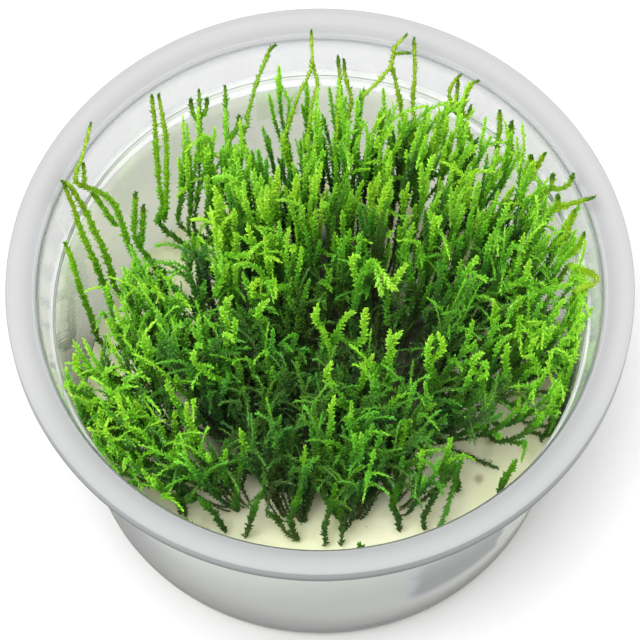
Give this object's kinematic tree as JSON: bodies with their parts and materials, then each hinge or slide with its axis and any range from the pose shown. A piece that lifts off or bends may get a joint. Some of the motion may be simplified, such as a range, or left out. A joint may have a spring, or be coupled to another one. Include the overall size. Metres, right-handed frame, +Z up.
{
  "type": "moss clump in a grow cup",
  "caption": "Clump of leafy aquatic moss grown in tufts on cream nutrient gel, standing in an open, round, clear plastic cup with a plain pale band.",
  "frame": {"origin": "centre of the cup's flat base, on the surface it stands on", "axes": "+Z up out of the cup's mouth, -Y towards the front, where the shoots stand upright and the gel beside them is bare"},
  "size_m": [0.1, 0.1, 0.064],
  "materials": {
    "clear_plastic": "clear, slightly milky, glossy",
    "printed_film": "thin printed film, satin",
    "cream_gel": "moist translucent gel, stained brown and green",
    "leaf_green": "small soft leaves, bright yellow-green tips over dark old shoots",
    "stem_green": "thin leafy stems, yellow-green"
  },
  "bodies": {
    "root": {"cup": "clear_plastic", "label_band": "printed_film", "gel": "cream_gel", "tuft_01": "leaf_green", "tuft_02": "leaf_green", "tuft_03": "leaf_green", "tuft_04": "leaf_green", "tuft_05": "leaf_green", "tuft_06": "leaf_green", "tuft_07": "leaf_green", "tuft_08": "leaf_green", "tuft_09": "leaf_green", "tuft_10": "leaf_green", "tuft_11": "leaf_green", "tuft_12": "leaf_green", "tuft_13": "leaf_green", "tuft_14": "leaf_green", "tuft_15": "leaf_green", "tuft_16": "leaf_green", "tuft_17": "leaf_green", "tuft_18": "leaf_green", "tuft_19": "leaf_green", "tuft_20": "leaf_green", "tuft_21": "leaf_green", "tuft_22": "leaf_green", "tuft_23": "leaf_green", "tuft_24": "leaf_green", "tuft_25": "leaf_green", "tuft_26": "leaf_green", "tuft_27": "leaf_green", "tuft_28": "leaf_green", "tuft_29": "leaf_green", "tuft_30": "leaf_green", "tuft_31": "leaf_green", "tuft_32": "leaf_green", "tuft_33": "leaf_green", "long_shoot_01": "stem_green", "long_shoot_02": "stem_green", "long_shoot_03": "stem_green", "long_shoot_04": "stem_green", "long_shoot_05": "stem_green", "long_shoot_06": "stem_green", "long_shoot_07": "stem_green", "long_shoot_08": "stem_green", "long_shoot_09": "stem_green", "long_shoot_10": "stem_green", "long_shoot_11": "stem_green", "long_shoot_12": "stem_green", "long_shoot_13": "stem_green", "long_shoot_14": "stem_green", "long_shoot_15": "stem_green", "long_shoot_16": "stem_green", "long_shoot_17": "stem_green", "long_shoot_18": "stem_green", "long_shoot_19": "stem_green", "stray_shoot_01": "stem_green", "stray_shoot_02": "stem_green", "stray_shoot_03": "stem_green", "stray_shoot_04": "stem_green", "stray_shoot_05": "stem_green"}
  },
  "joints": []
}
